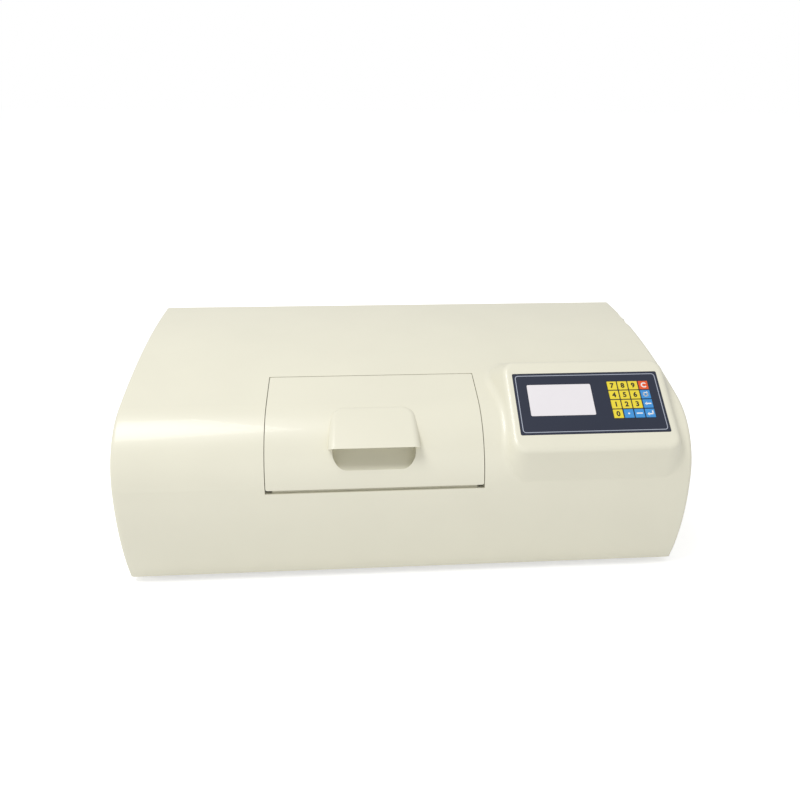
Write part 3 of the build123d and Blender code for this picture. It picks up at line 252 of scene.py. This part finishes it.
def console_frame(x=0.0, y=0.0, rise=0.0):
    """Matrix of a place on the console, in metres from its centre and above its top."""
    tilt = Matrix.Rotation(math.radians(CONSOLE_TILT), 4, "X")
    return Matrix.Translation(CONSOLE_PLACE) @ tilt @ Matrix.Translation((x, y, rise))


def rounded_outline(width, length, radius, steps=6):
    """Points round a rectangle with rounded corners."""
    points = []
    for turn, (side, end) in enumerate(((1, 1), (-1, 1), (-1, -1), (1, -1))):
        centre = (side * (width / 2 - radius), end * (length / 2 - radius))
        for step in range(steps + 1):
            angle = math.radians(90 * (turn + step / steps))
            points.append((centre[0] + radius * math.cos(angle), centre[1] + radius * math.sin(angle)))
    return points


def printed_band(outer, inner, thick):
    """Mesh of a closed band between two outlines with the same number of points."""
    form = bmesh.new()
    rings = []
    for outline, height in ((outer, 0.0), (outer, thick), (inner, thick), (inner, 0.0)):
        rings.append([form.verts.new((x, y, height)) for x, y in outline])
    for ring, following in zip(rings, rings[1:] + rings[:1]):
        for first in range(len(ring)):
            last = (first + 1) % len(ring)
            form.faces.new((ring[first], ring[last], following[last], following[first]))
    bmesh.ops.recalc_face_normals(form, faces=form.faces)
    mesh = bpy.data.meshes.new("band")
    form.to_mesh(mesh)
    form.free()
    return mesh


def printed_shape(outlines, thick):
    """Mesh of flat shapes with a small thickness, one for each closed outline."""
    form = bmesh.new()
    for outline in outlines:
        under = [form.verts.new((x, y, 0.0)) for x, y in outline]
        top = [form.verts.new((x, y, thick)) for x, y in outline]
        form.faces.new(top)
        form.faces.new(list(reversed(under)))
        for first in range(len(outline)):
            last = (first + 1) % len(outline)
            form.faces.new((under[first], under[last], top[last], top[first]))
    bmesh.ops.recalc_face_normals(form, faces=form.faces)
    mesh = bpy.data.meshes.new("print")
    form.to_mesh(mesh)
    form.free()
    return mesh


def stroke(points, width):
    """Outlines of a line of even width through points, one quad for each run."""
    half = width / 2
    outlines = []
    for (x0, y0), (x1, y1) in zip(points, points[1:]):
        run = math.hypot(x1 - x0, y1 - y0)
        along = ((x1 - x0) / run, (y1 - y0) / run)
        across = (-along[1] * half, along[0] * half)
        x0, y0 = x0 - along[0] * half, y0 - along[1] * half
        x1, y1 = x1 + along[0] * half, y1 + along[1] * half
        outlines.append([
            (x0 + across[0], y0 + across[1]), (x0 - across[0], y0 - across[1]),
            (x1 - across[0], y1 - across[1]), (x1 + across[0], y1 + across[1]),
        ])
    return outlines


def arc_points(radius, start, end, steps):
    """Points on an arc about the origin, angles in degrees."""
    turns = [math.radians(start + (end - start) * step / steps) for step in range(steps + 1)]
    return [(radius * math.cos(turn), radius * math.sin(turn)) for turn in turns]


def digit_mesh(letter):
    """Mesh of a printed number or sign, centred on its middle."""
    text = bpy.data.curves.new("legend", "FONT")
    text.body = letter
    text.size = DIGIT_SIZE * MM
    text.extrude = KEY_SIGN_RISE * MM / 2
    text.offset = DIGIT_BOLD * MM
    text.resolution_u = 4
    holder = bpy.data.objects.new("legend", text)
    bpy.context.scene.collection.objects.link(holder)
    bpy.context.view_layer.update()
    mesh = bpy.data.meshes.new_from_object(holder)
    bpy.data.objects.remove(holder)
    corners = [vertex.co for vertex in mesh.vertices]
    middle_x = (min(c.x for c in corners) + max(c.x for c in corners)) / 2
    middle_y = (min(c.y for c in corners) + max(c.y for c in corners)) / 2
    mesh.transform(Matrix.Translation((-middle_x, -middle_y, KEY_SIGN_RISE * MM / 2)))
    return mesh


def sign_outlines(name):
    """Outlines of the plain sign on a key without a number, in millimetres."""
    half = SIGN_SIZE / 2
    neck = -half + ARROW_LENGTH
    tail = half - 0.5
    if name == "key_point":
        return [arc_points(POINT_RADIUS, 0, 330, 11)]
    if name == "key_minus":
        return stroke([(-half + 0.8, 0), (half - 0.8, 0)], MIDDLE_LINE)
    if name == "key_back":
        head = [(-half, 0), (neck, ARROW_HALF), (neck, -ARROW_HALF)]
        return [head] + stroke([(neck, 0), (tail, 0)], THICK_LINE)
    if name == "key_enter":
        head = [(-half, -1.0), (neck, ARROW_HALF - 1.0), (neck, -ARROW_HALF - 1.0)]
        return [head] + stroke([(neck, -1.0), (tail, -1.0), (tail, 2.2)], MIDDLE_LINE)
    ring = arc_points(REPEAT_RADIUS, -240, 50, 14)
    tip_x, tip_y = ring[-1]
    head = [(tip_x - 2.2, tip_y + 0.2), (tip_x + 1.1, tip_y - 1.3), (tip_x + 0.9, tip_y + 1.7)]
    return stroke(ring, THIN_LINE) + [head]


def key_places():
    """Names, legends and centres of the keys, row by row."""
    rows = (
        (("key_7", "7"), ("key_8", "8"), ("key_9", "9"), ("key_clear", "C")),
        (("key_4", "4"), ("key_5", "5"), ("key_6", "6"), ("key_repeat", "")),
        (("key_1", "1"), ("key_2", "2"), ("key_3", "3"), ("key_back", "")),
        (("key_0", "0"), ("key_point", ""), ("key_minus", ""), ("key_enter", "")),
    )
    for row, keys in enumerate(rows):
        for column, (name, legend) in enumerate(keys):
            x = KEYS_CENTRE[0] + (column - 1.5) * KEY_PITCH[0]
            y = KEYS_CENTRE[1] + (1.5 - row) * KEY_PITCH[1]
            yield name, legend, x * MM, y * MM


def add_key_signs():
    """Numbers on the yellow keys and plain signs on the others."""
    for name, legend, x, y in key_places():
        if legend:
            mesh = digit_mesh(legend)
        else:
            mesh = printed_shape(in_metres(sign_outlines(name)), KEY_SIGN_RISE * MM)
        mesh.transform(console_frame(x, y, KEY_TOP * MM))
        pale = name in BLUE_KEYS or name == "key_clear"
        keep("sign_of_" + name, mesh, print_white if pale else print_dark, name)


def add_overlay_border():
    """Printed line round the console's overlay."""
    outlines = []
    for inset in (BORDER_INSET, BORDER_INSET + BORDER_WIDTH):
        width = (OVERLAY_SIZE[0] - 2 * inset) * MM
        length = (OVERLAY_SIZE[1] - 2 * inset) * MM
        outlines.append(rounded_outline(width, length, (BORDER_CORNER - inset + BORDER_INSET) * MM))
    mesh = printed_band(outlines[0], outlines[1], PRINT_RISE * MM)
    mesh.transform(console_frame())
    keep("overlay_border", mesh, print_silver, "casing")


def islands(name):
    """Lowest and highest corner of each separate solid of a CAD node."""
    piece = frame["nodes"][name]
    form = bmesh.new()
    form.from_mesh(piece.data)
    bmesh.ops.remove_doubles(form, verts=form.verts, dist=1e-6)
    waiting = set(form.verts)
    boxes = []
    while waiting:
        edge = [waiting.pop()]
        corners = []
        while edge:
            vertex = edge.pop()
            corners.append(piece.matrix_world @ vertex.co)
            for link in vertex.link_edges:
                other = link.other_vert(vertex)
                if other in waiting:
                    waiting.remove(other)
                    edge.append(other)
        low = Vector([min(c[axis] for c in corners) for axis in range(3)])
        high = Vector([max(c[axis] for c in corners) for axis in range(3)])
        boxes.append((low, high))
    form.free()
    return boxes


def facing_back(place):
    """Matrix that lays a flat print on a face that looks backwards."""
    about = Matrix.Rotation(math.pi, 4, "Z")
    return Matrix.Translation(place) @ about @ Matrix.Rotation(math.pi / 2, 4, "X")


def facing_down(place):
    """Matrix that lays a flat print on a face that looks down."""
    return Matrix.Translation(place) @ Matrix.Rotation(math.pi, 4, "X")


def in_metres(outlines):
    """Outlines in metres from outlines in millimetres."""
    return [[(x * MM, y * MM) for x, y in outline] for outline in outlines]


def add_screw_slot_shade(name, side):
    """Painted shade of the crossed slots in the heads of a node's screws, which look backwards or down,
    as flat dark crosses.
    """
    length, width = SCREW_MARK
    half = length / 2
    cross = stroke([(-half, 0), (half, 0)], width) + stroke([(0, -half), (0, half)], width)
    for count, (low, high) in enumerate(islands(name)):
        middle = (low + high) / 2
        mesh = printed_shape(in_metres(cross), MARK_RISE * MM)
        if side == "back":
            mesh.transform(facing_back((middle.x, high.y, middle.z)))
        else:
            mesh.transform(facing_down((middle.x, middle.y, low.z)))
        keep(f"{name}_slot_{count}", mesh, hollow_shade, "casing")


def plates_behind(name, count):
    """Centres and normals of a node's largest flat faces that look backwards."""
    piece = frame["nodes"][name]
    turn = piece.matrix_world.to_3x3()
    groups = {}
    for face in piece.data.polygons:
        normal = (turn @ face.normal).normalized()
        if normal.y < 0.5:
            continue
        place = piece.matrix_world @ face.center
        key = (*(round(part, 2) for part in normal), round(place.dot(normal), 3))
        area, moment = groups.get(key, (0.0, Vector((0, 0, 0))))
        groups[key] = (area + face.area, moment + place * face.area)
    largest = sorted(groups.items(), key=lambda item: -item[1][0])[:count]
    return [(moment / area, Vector(key[:3]).normalized()) for key, (area, moment) in largest]


def print_on(name, place, normal, outlines, material, body):
    """Flat print on a face, upright, with outlines in millimetres."""
    mesh = printed_shape(in_metres(outlines), MARK_RISE * MM)
    mesh.transform(Matrix.Translation(place) @ normal.to_track_quat("Z", "Y").to_matrix().to_4x4())
    keep(name, mesh, material, body)


def add_rocker_marks():
    """On and off marks on the two faces of the rocker."""
    faces = sorted(plates_behind("power_rocker", 2), key=lambda face: -face[0].z)
    bar = stroke([(0, -ROCKER_MARK_HALF), (0, ROCKER_MARK_HALF)], ROCKER_BAR)
    ring = stroke(arc_points(ROCKER_MARK_HALF, 0, 350, 14), ROCKER_RING)
    for name, (place, normal), outlines in zip(("rocker_on", "rocker_off"), faces, (bar, ring)):
        print_on(name, place, normal, outlines, print_white, "rocker")


def add_socket_pin_shade():
    """Painted shade of the nine pin holes in the face of the serial socket, as flat dark discs."""
    place, normal = max(plates_behind("serial_port", 4), key=lambda face: face[0].y)
    holes = []
    for count, height in SOCKET_ROWS:
        for hole in range(count):
            middle = (hole - (count - 1) / 2) * SOCKET_PITCH
            holes.append([(x + middle, y + height) for x, y in arc_points(SOCKET_HOLE_R, 0, 330, 11)])
    print_on("socket_pin_hole_shade", place, normal, holes, hollow_shade, "casing")


def add_camera():
    """Camera at the photograph's viewing angle."""
    yaw, pitch, roll = (math.radians(angle) for angle in (VIEW_YAW, VIEW_PITCH, VIEW_ROLL))
    ahead = Vector((math.sin(yaw) * math.cos(pitch), math.cos(yaw) * math.cos(pitch), -math.sin(pitch)))
    level = ahead.cross(Vector((0, 0, 1))).normalized()
    right = level * math.cos(roll) + ahead.cross(level) * math.sin(roll)
    up = right.cross(ahead)
    data = bpy.data.cameras.new("camera")
    data.lens = VIEW_LENS
    data.sensor_width = 36.0
    data.clip_start = 0.01
    camera = bpy.data.objects.new("camera", data)
    turn = Matrix((right, up, -ahead)).transposed().to_4x4()
    camera.matrix_world = Matrix.Translation(VIEW_PLACE) @ turn
    bpy.context.scene.collection.objects.link(camera)
    bpy.context.scene.camera = camera


def add_lamp(name, place, size, power):
    """Square area lamp that faces the object."""
    data = bpy.data.lights.new(name, "AREA")
    data.shape = "SQUARE"
    data.size = size
    data.energy = power
    lamp = bpy.data.objects.new(name, data)
    lamp.location = place
    lamp.rotation_euler = (Vector(LAMP_AIM) - Vector(place)).to_track_quat("-Z", "Y").to_euler()
    bpy.context.scene.collection.objects.link(lamp)


def add_world():
    """Even pale sky that the camera sees as white."""
    world = bpy.data.worlds.new("studio")
    bpy.context.scene.world = world
    world.use_nodes = True
    tree = world.node_tree
    tree.nodes.clear()
    light = node(tree, "ShaderNodeBackground", Color=(1.0, 1.0, 1.0, 1.0), Strength=WORLD_STRENGTH)
    seen = node(tree, "ShaderNodeBackground", Color=(1.0, 1.0, 1.0, 1.0), Strength=1.0)
    path = tree.nodes.new("ShaderNodeLightPath")
    either = tree.nodes.new("ShaderNodeMath")
    either.operation = "MAXIMUM"
    mix = tree.nodes.new("ShaderNodeMixShader")
    out = tree.nodes.new("ShaderNodeOutputWorld")
    tree.links.new(path.outputs["Is Camera Ray"], either.inputs[0])
    tree.links.new(path.outputs["Is Transmission Ray"], either.inputs[1])
    tree.links.new(either.outputs["Value"], mix.inputs["Fac"])
    tree.links.new(light.outputs["Background"], mix.inputs[1])
    tree.links.new(seen.outputs["Background"], mix.inputs[2])
    tree.links.new(mix.outputs["Shader"], out.inputs["Surface"])


def add_floor():
    """Plain pale floor that keeps the object's shadow."""
    form = bmesh.new()
    bmesh.ops.create_grid(form, x_segments=1, y_segments=1, size=FLOOR_HALF)
    mesh = bpy.data.meshes.new("floor")
    form.to_mesh(mesh)
    form.free()
    floor = bpy.data.objects.new("floor", mesh)
    floor.location.z = -FLOOR_DROP
    bpy.context.scene.collection.objects.link(floor)
    made = bpy.data.materials.new("floor")
    made.use_nodes = True
    tree = made.node_tree
    tree.nodes.clear()
    matt = node(tree, "ShaderNodeBsdfDiffuse", Color=(FLOOR_GREY, FLOOR_GREY, FLOOR_GREY, 1.0))
    glow = node(tree, "ShaderNodeEmission", Color=(1.0, 1.0, 1.0, 1.0), Strength=FLOOR_GLOW)
    dark_glow = node(tree, "ShaderNodeEmission", Color=(0.0, 0.0, 0.0, 1.0), Strength=0.0)
    path = tree.nodes.new("ShaderNodeLightPath")
    chosen = tree.nodes.new("ShaderNodeMixShader")
    both = tree.nodes.new("ShaderNodeAddShader")
    out = tree.nodes.new("ShaderNodeOutputMaterial")
    tree.links.new(path.outputs["Is Camera Ray"], chosen.inputs["Fac"])
    tree.links.new(dark_glow.outputs["Emission"], chosen.inputs[1])
    tree.links.new(glow.outputs["Emission"], chosen.inputs[2])
    tree.links.new(matt.outputs["BSDF"], both.inputs[0])
    tree.links.new(chosen.outputs["Shader"], both.inputs[1])
    tree.links.new(both.outputs["Shader"], out.inputs["Surface"])
    mesh.materials.append(made)


bpy.context.scene.view_settings.view_transform = "Standard"
add_camera()
add_world()
for lamp_name, (lamp_place, lamp_size, lamp_power) in LAMPS.items():
    add_lamp(lamp_name, lamp_place, lamp_size, lamp_power)
add_floor()
dress_nodes()
add_overlay_border()
add_key_signs()
add_screw_slot_shade("rear_panel_screws", "back")
add_screw_slot_shade("foot_screws", "under")
add_rocker_marks()
add_socket_pin_shade()
